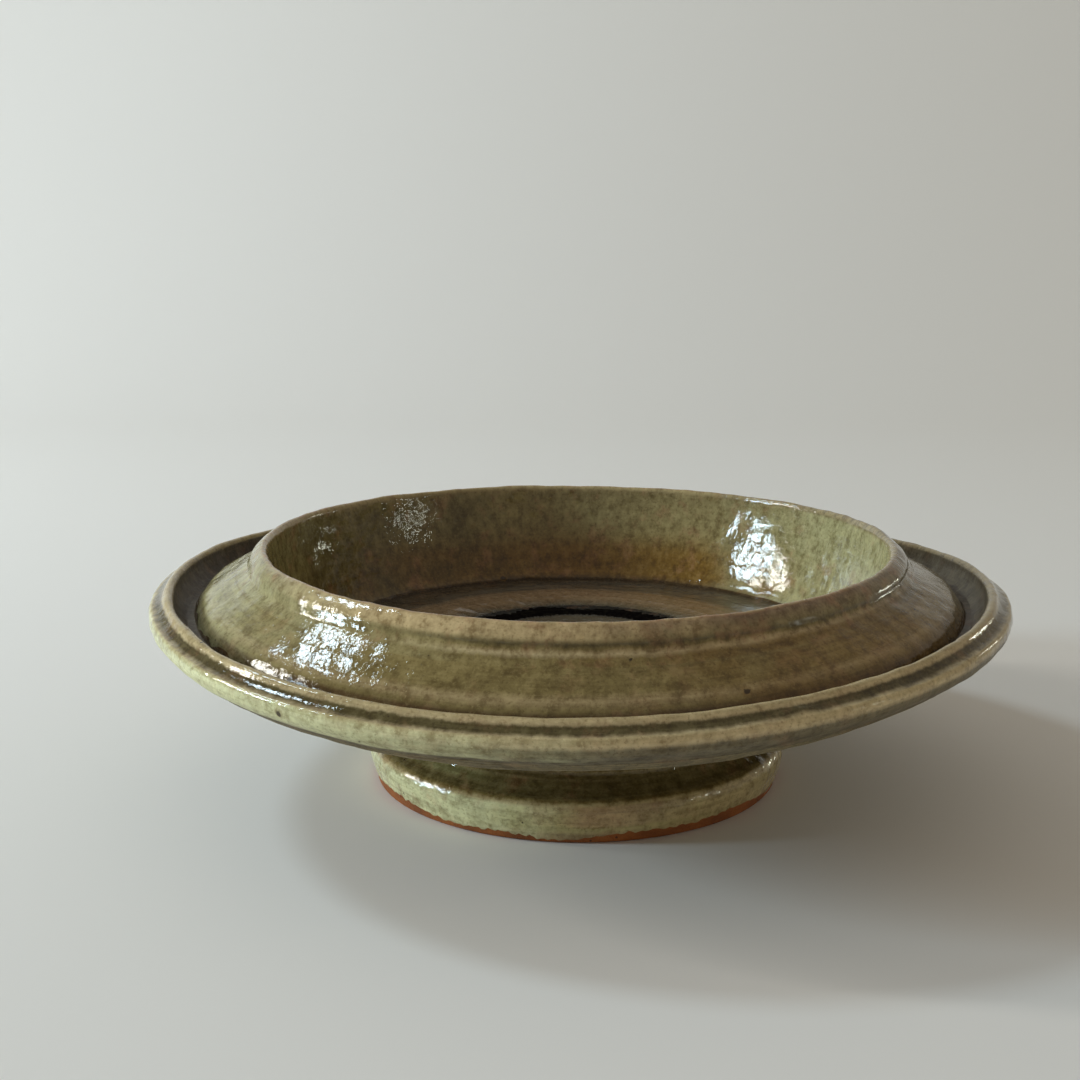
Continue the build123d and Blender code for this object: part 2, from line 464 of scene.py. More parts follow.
@dataclass(frozen=True)
class Relief:
    """Everything that lifts or sinks the glaze's surface: throwing rings, ridges, runs and waves."""

    skin: Skin
    rings: tuple[ThrowingRings, ...] = (
        ThrowingRings(Mark.SHOULDER, 1.0, Mark.FOOT_TOP, -1.0, 2.1, 0.22, 0.9),
        ThrowingRings(Mark.BELLY, -4.0, Mark.LIP_EDGE, -1.0, 2.3, 0.26, 0.9),
        ThrowingRings(Mark.GUTTER, 5.0, Mark.COLLAR_RIDGE, -1.0, 4.6, 0.05),
        ThrowingRings(Mark.MOUTH, 5.0, Mark.WALL_FOOT, -6.0, 5.2, 0.04),
        ThrowingRings(Mark.WALL_FOOT, 8.0, Mark.FLOOR_CREST, 6.0, 6.5, 0.12),
    )
    waves: tuple[Ripple, ...] = (
        Ripple(11, 0.06, 2, 9, 60.0),
        Ripple(14, 0.075, 10, 24, 22.0),
        Ripple(12, 0.04, 24, 70, 9.0),
        Ripple(13, 0.016, 70, 150, 26.0),
    )
    calm_range: Point = (14.0, 4.0)
    calm_share: float = 0.25
    ridge_height: float = 0.34
    ridge_offset: float = -0.4
    ridge_width: float = 0.8
    ridge_turn: float = 0.7
    ridge_share: float = 0.2
    ridge_range: Point = (0.0, 0.6)
    ledge_depth: float = 0.30
    ledge_offset: float = 1.7
    fill_height: float = 0.30
    fill_offset: float = -1.0
    fill_width: float = 3.0
    crest_drop: float = 0.3
    crest_width: float = 2.2
    crest_range: Point = (0.3, 0.95)
    bridge_turn: float = 0.405
    bridge_height: float = 0.9
    bridge_spread: float = 0.035
    bridge_width: float = 1.5
    inset: float = 0.22
    thin_bend: Point = (0.12, 0.5)

    def _bell(self, along: Grid, mark: Mark, offset: float, width: float) -> Grid:
        """A bell of height 1 about a place along the skin."""
        return np.exp(-(((along - self.skin.at(mark, offset)) / width) ** 2))

    def at(self, along: Grid, turn: Grid) -> Grid:
        """Height of the surface over the plain skin, in millimetres.

        Args:
            along: distance along the skin, in millimetres.
            turn: angle round the axis, in radians.

        Returns:
            The height for each place, mostly below zero so that the vessel keeps its outer size.
        """
        skin = self.skin
        total = np.zeros(np.broadcast(along, turn).shape) - self.inset
        wavy = smooth(*(-skin.at(Mark.FLOOR_CREST, offset) for offset in self.calm_range), -along)
        for wave in self.waves:
            total += wave.at(along, turn) * (self.calm_share + (1.0 - self.calm_share) * wavy)
        for run in self.rings:
            total += run.height * run.ridge(skin, along, turn)
        clear = smooth(*self.ridge_range, np.cos(turn - self.ridge_turn))
        clear = self.ridge_share + (1.0 - self.ridge_share) * clear
        ridge = self._bell(along, Mark.COLLAR_RIDGE, self.ridge_offset, self.ridge_width)
        ledge = self._bell(along, Mark.COLLAR_RIDGE, self.ledge_offset, self.ridge_width)
        total += clear * (self.ridge_height * ridge - self.ledge_depth * ledge)
        fill = self._bell(along, Mark.COLLAR_RIDGE, self.fill_offset, self.fill_width)
        total += self.fill_height * (1.0 - clear) * fill
        crest = self._bell(along, Mark.LIP_CREST, 0.0, self.crest_width)
        total -= self.crest_drop * smooth(*self.crest_range, np.cos(turn)) * crest
        bridge = np.exp(-(((turn - self.bridge_turn) / self.bridge_spread) ** 2))
        total += self.bridge_height * bridge * self._bell(along, Mark.LIP_GROOVE, 0.0, self.bridge_width)
        return total

    def thin(self, along: Grid, turn: Grid) -> Grid:
        """Share by which the glaze has run thin, from 0 to 1.

        Args:
            along: distance along the skin, in millimetres.
            turn: angle round the axis, in radians.

        Returns:
            The share for each place: high on sharp edges and on bare ridges.
        """
        edge = smooth(*self.thin_bend, self.skin.read(self.skin.bend, along))
        total = np.zeros(np.broadcast(along, turn).shape) + edge
        for run in self.rings:
            total += run.bare * run.ridge(self.skin, along, turn) ** 2
        return np.clip(total, 0.0, 1.0)


@dataclass(frozen=True)
class KilnSag:
    """How the rim and the flange warped in the kiln: sunk at front and back, up at the sides, and shifted."""

    inner: float = 82.0
    outer: float = 124.0
    drop: float = 0.7
    twist: float = 3.3
    twist_turn: float = 0.37
    shift: float = 0.4
    shrink: float = 0.35

    def place(self, radius: Grid, height: Grid, turn: Grid) -> Grid:
        """Points of the fired vessel in millimetres.

        Args:
            radius: distance from the axis as thrown.
            height: height as thrown.
            turn: angle round the axis from the front, growing to the right.

        Returns:
            The points, as an array whose last side is x, y and z.
        """
        share = smooth(self.inner, self.outer, radius)
        lift = -self.drop - self.twist * np.cos(2.0 * turn + self.twist_turn)
        size = radius - self.shrink * share
        across = size * np.sin(turn) + self.shift * share
        return np.stack([across, -size * np.cos(turn), height + lift * share], -1)


@dataclass
class Lathe:
    """Turns loops of points into closed meshes."""

    skin: Skin
    relief: Relief
    sag: KilnSag
    spread: float = 110.0
    least_coat: float = 0.2
    clay_gap: float = 0.06
    roll_sink: float = 0.12
    roll_bed: float = 0.30
    axis_radius: float = 0.01

    @staticmethod
    def turns(count: int) -> Grid:
        """Angles round the axis, as a row."""
        return np.linspace(-math.pi, math.pi, count, endpoint=False)[None, :]

    def surface(self, along: Grid, turn: Grid, sunk: Grid | float) -> Grids:
        """Radius and height of places at or under the skin.

        Args:
            along: distance along the skin, in millimetres.
            turn: angle round the axis, in radians.
            sunk: depth under the plain skin, in millimetres.

        Returns:
            The radius and the height of each place.
        """
        along, sunk, _ = np.broadcast_arrays(along, sunk, turn)
        skin = self.skin
        radius = skin.read(skin.radius, along) - sunk * skin.read(skin.normal[:, 0], along)
        height = skin.read(skin.height, along) - sunk * skin.read(skin.normal[:, 1], along)
        return np.maximum(radius, 0.0), height

    def bed(self, along: Grid, turn: Grid, thickness: float) -> Grid:
        """Depth of a coat's underside below the plain skin, more than its thickness where it sinks."""
        return np.maximum(thickness, self.least_coat - self.relief.at(along, turn))

    def clay(self, along: Grid, turn: Grid, coat: float) -> Grids:
        """Radius and height of the clay just under a coat of a thickness in millimetres."""
        return self.surface(along, turn, self.bed(along, turn, coat) + self.clay_gap)

    def piece(
        self,
        name: str,
        radius: Grid,
        height: Grid,
        turn: Grid,
        along: Grid,
        sharp: tuple[int, ...] = (),
    ) -> Item:
        """A closed mesh from rings of points, the last ring joined to the first.

        Args:
            name: the piece's name.
            radius: radius of each point, a row for each ring.
            height: height of each point, a row for each ring.
            turn: angle of each point of a ring.
            along: distance along the skin of each point.
            sharp: rings along which the surface has a sharp edge.

        Returns:
            The object.
        """
        rings, count = radius.shape
        turn = np.broadcast_to(turn, radius.shape)
        along = np.broadcast_to(along, radius.shape)
        points = self.sag.place(radius, height, turn) * MM
        axis = radius.max(1) < self.axis_radius
        loop = radius.mean(1), height.mean(1)
        clockwise = (loop[0] * np.roll(loop[1], -1) - loop[1] * np.roll(loop[0], -1)).sum() < 0.0
        keep = np.ones((rings, count), bool)
        keep[axis, 1:] = False
        index = np.cumsum(keep.ravel()).reshape(rings, count) - 1
        index[axis] = index[axis][:, :1]
        faces: list[list[int]] = []
        for ring in range(rings):
            after = (ring + 1) % rings
            if axis[ring] and axis[after]:
                continue
            a, b = index[ring], index[after]
            quad = np.stack([a, np.roll(a, -1), np.roll(b, -1), b], 1)
            if axis[ring]:
                quad = quad[:, [0, 2, 3]]
            elif axis[after]:
                quad = quad[:, [0, 1, 2]]
            if clockwise:
                quad = np.roll(quad[:, ::-1], 1, 1)
            faces.extend(quad.tolist())
        mesh = bpy.data.meshes.new(name)
        mesh.from_pydata(points[keep].tolist(), [], faces)
        mesh.polygons.foreach_set("use_smooth", np.ones(len(mesh.polygons), bool))
        mesh.update()
        self._note(mesh, "along", along[keep] * MM)
        self._note(mesh, "thin", self.relief.thin(along, turn)[keep])
        ring_spread = self.spread * MM
        unrolled = np.stack([ring_spread * np.sin(turn), -ring_spread * np.cos(turn), along * MM], -1)
        self._note(mesh, "unrolled", unrolled[keep])
        ring_of = np.broadcast_to(np.arange(rings)[:, None], keep.shape)[keep]
        self._sharpen(mesh, ring_of, sharp)
        item = bpy.data.objects.new(name, mesh)
        bpy.context.scene.collection.objects.link(item)
        return item

    @staticmethod
    def _note(mesh: bpy.types.Mesh, name: str, values: Grid) -> None:
        """Keeps a number or a vector with each point of a mesh.

        Args:
            mesh: the mesh.
            name: the note's name.
            values: a number or a vector for each point.
        """
        vector = values.ndim == 2
        note = mesh.attributes.new(name, "FLOAT_VECTOR" if vector else "FLOAT", "POINT")
        note.data.foreach_set("vector" if vector else "value", values.astype(np.float32).ravel())

    @staticmethod
    def _sharpen(mesh: bpy.types.Mesh, ring_of: Grid, sharp: tuple[int, ...]) -> None:
        """Marks the edges along some rings as sharp.

        Args:
            mesh: the mesh.
            ring_of: the ring that each point is on.
            sharp: the rings with sharp edges.
        """
        if not sharp:
            return
        ends = np.zeros(len(mesh.edges) * 2, int)
        mesh.edges.foreach_get("vertices", ends)
        first, last = ring_of[ends.reshape(-1, 2).T]
        mesh.attributes.new("sharp_edge", "BOOLEAN", "EDGE").data.foreach_set(
            "value", (first == last) & np.isin(first, sharp)
        )

    def coat(
        self,
        name: str,
        start: Grid | float,
        end: float,
        step: float,
        count: int,
        thickness: float,
        rolled: float = 0.0,
    ) -> Item:
        """A coat of glaze over part of the skin.

        Args:
            name: the piece's name.
            start: distance along the skin at which the coat starts, the same or one for each angle.
            end: distance along the skin at which it ends.
            step: spacing of the rings on its outside, in millimetres.
            count: points round each ring.
            thickness: thickness of the coat, in millimetres.
            rolled: distance over which the coat's first edge rolls down to the clay.

        Returns:
            The object.
        """
        turn = self.turns(count)
        start = np.broadcast_to(start, (1, count))
        rings = max(8, int((end - float(start.mean())) / step))
        outer = start + (end - start) * np.linspace(0.0, 1.0, rings)[:, None]
        inner = start + (end - start) * np.linspace(1.0, 0.0, rings // 4)[:, None]
        top = -self.relief.at(outer, turn)
        under = self.bed(inner, turn, thickness)
        if rolled > 0.0:
            edge = np.clip(1.0 - (outer - start) / rolled, 0.0, 1.0)
            top = top * (1.0 - edge) + self.roll_sink * (1.0 - np.sqrt(1.0 - edge**2))
            under = np.where(inner - start < rolled, self.roll_bed, under)
        above = self.surface(outer, turn, top)
        below = self.surface(inner, turn, under)
        radius, height = np.vstack([above[0], below[0]]), np.vstack([above[1], below[1]])
        if end >= self.skin.along[-1]:
            radius[rings - 1:rings + 1] = 0.0
        sharp = (0, rings - 1, rings, len(radius) - 1)
        return self.piece(name, radius, height, turn, np.vstack([outer, inner]), sharp)

    def turned(self, name: str, loop: Grid, count: int) -> Item:
        """A plain turned solid from a loop of points as (radius, height), in millimetres."""
        radius, height = np.repeat(loop[:, :1], count, 1), np.repeat(loop[:, 1:], count, 1)
        return self.piece(name, radius, height, self.turns(count), loop[:, 1:])


class Paint:
    """Adds shader nodes to one material and joins them."""

    SPOT_CORE = 0.55
    PICK_EDGE = 0.96

    def __init__(self, name: str) -> None:
        """Starts an empty material.

        Args:
            name: the material's name.
        """
        self.material = bpy.data.materials.new(name)
        self.material.use_nodes = True
        self.tree = self.material.node_tree
        self.tree.nodes.clear()

    def node(self, kind: str, feeds: Feeds, **settings: str | bool | float) -> bpy.types.Node:
        """Adds a node.

        Args:
            kind: the node's type.
            feeds: what goes into its sockets, by their names or numbers.
            settings: the node's own settings.

        Returns:
            The node.
        """
        made = self.tree.nodes.new(kind)
        for key, value in settings.items():
            setattr(made, key, value)
        for key, feed in feeds.items():
            if isinstance(feed, Socket):
                self.tree.links.new(feed, made.inputs[key])
            else:
                made.inputs[key].default_value = feed
        return made

    def note(self, name: str, socket: str) -> Socket:
        """A value kept with the mesh's points."""
        return self.node("ShaderNodeAttribute", {}, attribute_name=name).outputs[socket]

    def place(self) -> Socket:
        """The place on the piece in its own axes."""
        return self.node("ShaderNodeTexCoord", {}).outputs["Object"]

    def stretched(self, vector: Feed, scale: Triple) -> Socket:
        """A place with its axes stretched."""
        return self.node("ShaderNodeMapping", {"Vector": vector, "Scale": scale}).outputs["Vector"]

    def shaken(self, vector: Feed, scale: float, amount: float) -> Socket:
        """A place moved about by noise.

        Args:
            vector: the place.
            scale: size of the noise per metre.
            amount: the most that the place is moved, in metres.

        Returns:
            The moved place.
        """
        cloud = self.node("ShaderNodeTexNoise", {"Vector": vector, "Scale": scale, "Detail": 2.0})
        feeds: Feeds = {0: cloud.outputs["Color"], 1: (amount,) * 3, 2: vector}
        return self.node("ShaderNodeVectorMath", feeds, operation="MULTIPLY_ADD").outputs["Vector"]

    def noise(self, vector: Feed, scale: float, detail: float = 3.0, rough: float = 0.55) -> Socket:
        """Cloudy noise about 0.5."""
        feeds: Feeds = {"Vector": vector, "Scale": scale, "Detail": detail, "Roughness": rough}
        return self.node("ShaderNodeTexNoise", feeds).outputs["Fac"]

    def sum(self, a: Feed, b: Feed, factor: float = 1.0) -> Socket:
        """The sum of a and b times a factor."""
        return self.node("ShaderNodeMath", {0: b, 1: factor, 2: a}, operation="MULTIPLY_ADD").outputs[0]

    def times(self, a: Feed, b: Feed) -> Socket:
        """The product of two values, kept between 0 and 1."""
        return self.node("ShaderNodeMath", {0: a, 1: b}, operation="MULTIPLY", use_clamp=True).outputs[0]

    def fade(self, value: Feed, low: float, high: float) -> Socket:
        """An even rise from 0 at low to 1 at high, or a fall where high is the lower one."""
        feeds: Feeds = {"Value": value, "From Min": low, "From Max": high}
        return self.node("ShaderNodeMapRange", feeds, interpolation_type="SMOOTHSTEP").outputs["Result"]

    def mix(self, factor: Feed, a: Feed, b: Feed, blend: Blend = Blend.MIX) -> Socket:
        """Two colours mixed."""
        feeds: Feeds = {"Factor": factor, 6: self.solid(a), 7: self.solid(b)}
        return self.node("ShaderNodeMix", feeds, data_type="RGBA", blend_type=blend.value).outputs[2]

    @staticmethod
    def solid(colour: Feed) -> Feed:
        """A colour with full cover, where it is given as numbers."""
        return (*colour, 1.0) if isinstance(colour, tuple) and len(colour) == 3 else colour

    def spots(self, vector: Feed, scale: float, size: float, share: float) -> Socket:
        """Scattered round spots.

        Args:
            vector: the place.
            scale: cells per metre.
            size: radius of a spot as a share of a cell.
            share: share of the cells that have a spot.

        Returns:
            A mask, 1 in the spots.
        """
        cells = self.node("ShaderNodeTexVoronoi", {"Vector": vector, "Scale": scale})
        round_ = self.fade(cells.outputs["Distance"], size, size * self.SPOT_CORE)
        pick = self.node("ShaderNodeSeparateColor", {"Color": cells.outputs["Color"]}).outputs[0]
        return self.times(round_, self.fade(pick, share, share * self.PICK_EDGE))

    def bump(self, height: Feed, depth: float, under: Feed | None = None) -> Socket:
        """A surface roughened by a height.

        Args:
            height: the height, from 0 to 1.
            depth: what 1 stands for, in metres.
            under: surface that it is laid over.

        Returns:
            The normal.
        """
        feeds: Feeds = {"Height": height, "Distance": depth, "Strength": 1.0}
        if under is not None:
            feeds["Normal"] = under
        return self.node("ShaderNodeBump", feeds).outputs["Normal"]

    def finish(self, feeds: Feeds) -> Material:
        """Joins the surface shader.

        Args:
            feeds: what goes into its sockets.

        Returns:
            The finished material.
        """
        shader = self.node("ShaderNodeBsdfPrincipled", feeds)
        self.node("ShaderNodeOutputMaterial", {"Surface": shader.outputs[0]})
        return self.material


@dataclass(frozen=True)
class Zone:
    """One colour at a place along the skin, and how dry the glaze is there: mostly the glaze's own colour, in
    some creases painted shade.
    """

    mark: Mark
    offset: float
    tone: Tone
    dry: float = 0.0


@dataclass(frozen=True)
class Side:
    """A colour laid on one side of the vessel, between two places along the skin: a tint of the glaze, and
    where that side faces towards or away from the window, painted light or painted shade.
    """

    turn: float
    tone: Tone
    strength: float
    first: Mark
    last: Mark
    low: float = 0.2
    high: float = 0.95
    shake: float = 0.8
    soft: float = 1.0


@dataclass(frozen=True)
class AshGlaze:
    """Glossy ash glaze: coloured in zones along the skin, streaked, mottled and specked with iron, with
    painted light and shade on some sides and creases.
    """

    name: str
    zones: tuple[Zone, ...]
    sides: tuple[Side, ...] = ()
    ragged: float = 2.0
    streaks: float = 0.15
    mottle: float = 0.7
    blush: float = 0.2
    lines: float = 0.0
    flecks: float = 0.45
    specks: float = 0.9
    dimple: float = 0.32
    thin_tone: Tone = Tone.CREAM
    thin_cover: float = 0.6
    gloss: float = 0.03
    shine: float = 0.5
    dark_range: Point = (0.48, 0.70)
    dark_share: Colour = (0.42, 0.36, 0.26)
    pale_range: Point = (0.50, 0.33)
    pale_share: Colour = (1.2, 1.2, 1.2)
    pale_lift: Colour = (0.05, 0.045, 0.028)
    cloud_scale: float = 65.0
    rust_scale: float = 120.0
    dimple_scale: float = 200.0
    mottle_scale: float = 290.0
    streak_scale: float = 400.0
    line_scale: float = 640.0
    grain_scale: float = 1100.0
    mottle_stretch: Triple = (1.0, 1.0, 0.95)
    streak_stretch: Triple = (1.0, 1.0, 0.22)
    line_stretch: Triple = (0.05, 0.05, 1.0)
    shake_scale: float = 520.0
    shake: float = 1.8
    large_specks: Triple = (80.0, 0.09, 0.22)
    small_specks: Triple = (260.0, 0.15, 0.045)
    halos: Triple = (80.0, 0.15, 0.22)
    halo_cover: float = 0.4
    cloud_cover: float = 0.4
    pinhole_depth: float = 0.14
    dry_rough: float = 0.47
    dry_shine: float = -0.4

    def material(self, skin: Skin) -> Material:
        """The glaze as a material.

        Args:
            skin: the vessel's skin, which gives the places of the zones.

        Returns:
            The material.
        """
        paint = Paint(self.name)
        place = paint.place()
        unrolled = paint.note("unrolled", "Vector")
        cloud = paint.noise(place, self.cloud_scale, 4.0, 0.6)
        mottle = paint.noise(paint.stretched(unrolled, self.mottle_stretch), self.mottle_scale, 3.0, 0.6)
        grain = paint.noise(place, self.grain_scale, 3.0, 0.6)
        streak = paint.noise(paint.stretched(unrolled, self.streak_stretch), self.streak_scale, 3.0, 0.6)
        line = paint.noise(paint.stretched(unrolled, self.line_stretch), self.line_scale, 3.0, 0.6)
        zones = self._zoned(paint, skin, streak, mottle)
        colour, dry = zones.outputs["Color"], zones.outputs["Alpha"]
        for side in self.sides:
            colour = self._leaned(paint, skin, colour, side, cloud)
        rusty = paint.fade(paint.noise(place, self.rust_scale, 4.0, 0.65), 0.52, 0.70)
        colour = paint.mix(paint.times(rusty, self.blush), colour, Tone.BLUSH.value)
        dark = paint.mix(1.0, colour, self.dark_share, Blend.MULTIPLY)
        pale = paint.mix(1.0, colour, self.pale_share, Blend.MULTIPLY)
        pale = paint.mix(1.0, pale, self.pale_lift, Blend.ADD)
        for pattern, cover in ((streak, self.streaks), (mottle, self.mottle), (line, self.lines)):
            colour = paint.mix(paint.times(paint.fade(pattern, *self.dark_range), cover), colour, dark)
            colour = paint.mix(paint.times(paint.fade(pattern, *self.pale_range), cover), colour, pale)
        colour = paint.mix(paint.times(paint.fade(cloud, 0.55, 0.74), self.cloud_cover), colour, dark)
        thin = paint.times(paint.note("thin", "Fac"), paint.fade(paint.sum(streak, mottle, 0.6), 0.60, 0.95))
        colour = paint.mix(paint.times(thin, self.thin_cover), colour, self.thin_tone.value)
        colour = paint.mix(paint.times(paint.fade(grain, 0.54, 0.68), self.flecks), colour, pale)
        colour = paint.mix(paint.times(paint.fade(grain, 0.45, 0.33), self.flecks), colour, dark)
        shaken = paint.shaken(place, self.shake_scale, self.shake * MM)
        halo = paint.times(paint.spots(shaken, *self.halos), self.halo_cover * self.specks)
        colour = paint.mix(halo, colour, Tone.BROWN.value)
        for specks in (self.large_specks, self.small_specks):
            spots = paint.times(paint.spots(shaken, *specks), self.specks)
            colour = paint.mix(spots, colour, Tone.IRON.value)
        normal = paint.bump(paint.noise(place, self.dimple_scale, 2.0, 0.5), self.dimple * MM)
        normal = paint.bump(paint.sum(mottle, grain, 0.45), self.pinhole_depth * MM, normal)
        rough = paint.sum(paint.sum(self.gloss, paint.fade(cloud, 0.45, 0.75), 0.04), dry, self.dry_rough)
        feeds: Feeds = {"Base Color": colour, "Roughness": rough, "Normal": normal}
        feeds["Specular IOR Level"] = paint.sum(self.shine, dry, self.dry_shine)
        return paint.finish(feeds)

    def _zoned(self, paint: Paint, skin: Skin, streak: Feed, mottle: Feed) -> bpy.types.Node:
        """The zones' colours and dryness, with ragged borders.

        Args:
            paint: the material that is made.
            skin: the vessel's skin.
            streak: pattern that draws the borders out.
            mottle: pattern that breaks them up.

        Returns:
            The ramp, with the colour and, as its alpha, the dryness.
        """
        places = [skin.at(zone.mark, zone.offset) * MM for zone in self.zones]
        wander = paint.sum(paint.sum(streak, mottle, 1.0), -1.0)
        along = paint.sum(paint.note("along", "Fac"), wander, self.ragged * 2.0 * MM)
        feeds: Feeds = {"Value": along, "From Min": places[0], "From Max": places[-1]}
        share = paint.node("ShaderNodeMapRange", feeds).outputs["Result"]
        ramp = paint.node("ShaderNodeValToRGB", {"Fac": share})
        stops = ramp.color_ramp.elements
        for number, (at, zone) in enumerate(zip(places, self.zones)):
            position = (at - places[0]) / (places[-1] - places[0])
            stop = stops[number] if number < 2 else stops.new(position)
            stop.position = position
            stop.color = (*zone.tone.value, zone.dry)
        return ramp

    @staticmethod
    def _leaned(paint: Paint, skin: Skin, colour: Feed, side: Side, cloud: Feed) -> Socket:
        """The colour, with another mixed in on one side as a glaze tint, painted light or painted shade.

        Args:
            paint: the material that is made.
            skin: the vessel's skin.
            colour: the colour so far.
            side: the side and its colour.
            cloud: pattern that breaks up the border.

        Returns:
            The new colour.
        """
        turn = math.radians(side.turn)
        towards = (math.sin(turn), -math.cos(turn), 0.0)
        level = paint.stretched(paint.place(), (1.0, 1.0, 0.0))
        outwards = paint.node("ShaderNodeVectorMath", {0: level}, operation="NORMALIZE").outputs["Vector"]
        feeds: Feeds = {0: outwards, 1: towards}
        facing = paint.node("ShaderNodeVectorMath", feeds, operation="DOT_PRODUCT").outputs["Value"]
        cover = paint.fade(paint.sum(facing, paint.sum(cloud, -0.5), side.shake), side.low, side.high)
        along = paint.note("along", "Fac")
        low, high, soft = skin.at(side.first) * MM, skin.at(side.last) * MM, side.soft * MM
        above, below = paint.fade(along, low - soft, low + soft), paint.fade(along, high + soft, high - soft)
        inside = paint.times(above, below)
        return paint.mix(paint.times(paint.times(cover, inside), side.strength), colour, side.tone.value)


@dataclass(frozen=True)
class FiredClay:
    """Bare stoneware: dry, grainy and flashed with orange where the glaze stops."""

    name: str
    body: Colour
    flash: Colour
    dryness: float = 0.78
    shade: Colour = (0.55, 0.48, 0.42)
    grain_depth: float = 0.22

    def material(self) -> Material:
        """The clay as a material.

        Returns:
            The material.
        """
        paint = Paint(self.name)
        place = paint.place()
        cloud = paint.noise(place, 70.0, 4.0, 0.6)
        grain = paint.noise(place, 1500.0, 4.0, 0.7)
        turning = paint.noise(paint.stretched(place, (0.05, 0.05, 1.0)), 900.0, 2.0, 0.6)
        colour = paint.mix(paint.fade(cloud, 0.35, 0.65), self.body, self.flash)
        shade = paint.mix(1.0, colour, self.shade, Blend.MULTIPLY)
        colour = paint.mix(paint.times(paint.fade(grain, 0.50, 0.72), 0.6), colour, shade)
        colour = paint.mix(paint.times(paint.spots(place, 420.0, 0.2, 0.25), 0.8), colour, Tone.IRON.value)
        normal = paint.bump(paint.sum(grain, turning, 0.8), self.grain_depth * MM)
        rough = paint.sum(self.dryness, paint.sum(grain, -0.5), 0.25)
        return paint.finish({"Base Color": colour, "Roughness": rough, "Normal": normal})


CLAY = FiredClay("fired_clay", (0.23, 0.068, 0.013), (0.37, 0.115, 0.02))
SLIP = FiredClay("fired_slip", (0.28, 0.16, 0.085), (0.33, 0.19, 0.10))

FOOT_GLAZE = AshGlaze(
    "ash_glaze_foot",
    (
        Zone(Mark.BASE, 0.0, Tone.RUST),
        Zone(Mark.BASE, 2.6, Tone.TAN),
        Zone(Mark.BASE, 5.0, Tone.YELLOW_GREEN),
        Zone(Mark.BEAD, -1.5, Tone.YELLOW_GREEN),
        Zone(Mark.BEAD, -0.3, Tone.CREAM),
        Zone(Mark.BEAD, 0.9, Tone.CREAM),
        # Darker olive from the bead's shoulder into the waist: painted shade under the flange.
        Zone(Mark.BEAD, 2.2, Tone.OLIVE),
        Zone(Mark.BEAD, 3.6, Tone.DARK_OLIVE),
        Zone(Mark.SHOULDER, 3.0, Tone.DARK_OLIVE),
        Zone(Mark.WAIST, -1.0, Tone.OLIVE),
        Zone(Mark.FOOT_TOP, 0.0, Tone.OLIVE),
    ),
    (
        # Paler on the left, towards the window: painted highlight on the foot band and painted sheen on the
        # waist, over the glaze's green.
        Side(-75.0, Tone.LIT_CELADON, 0.9, Mark.BASE, Mark.BEAD, 0.2, 0.7),
        Side(-75.0, Tone.GREY_GREEN, 0.7, Mark.SHOULDER, Mark.FOOT_TOP, 0.4, 0.95),
        Side(8.0, Tone.BLUSH, 0.7, Mark.FOOT_BAND, Mark.BEAD, 0.97, 0.995, 0.03),
        Side(21.0, Tone.DARK_OLIVE, 0.6, Mark.FOOT_BAND, Mark.BEAD, 0.985, 0.998, 0.02),
        Side(35.0, Tone.HONEY, 0.5, Mark.FOOT_BAND, Mark.BEAD, 0.5, 1.1, 1.6),
        Side(75.0, Tone.CREAM, 0.7, Mark.BASE, Mark.BEAD),
    ),
    ragged=0.8,
    streaks=0.0,
    lines=0.4,
    blush=0.35,
    thin_cover=0.75,
    dimple=0.55,
)
BELLY_GLAZE = AshGlaze(
    "ash_glaze_belly",
    (
        Zone(Mark.FOOT_TOP, -1.0, Tone.GREY_OLIVE),
        Zone(Mark.BELLY, 0.0, Tone.GREY_LILAC),
        Zone(Mark.UNDER_JOINT, 1.0, Tone.GREY_LILAC),
    ),
    lines=0.8,
    streaks=0.0,
)
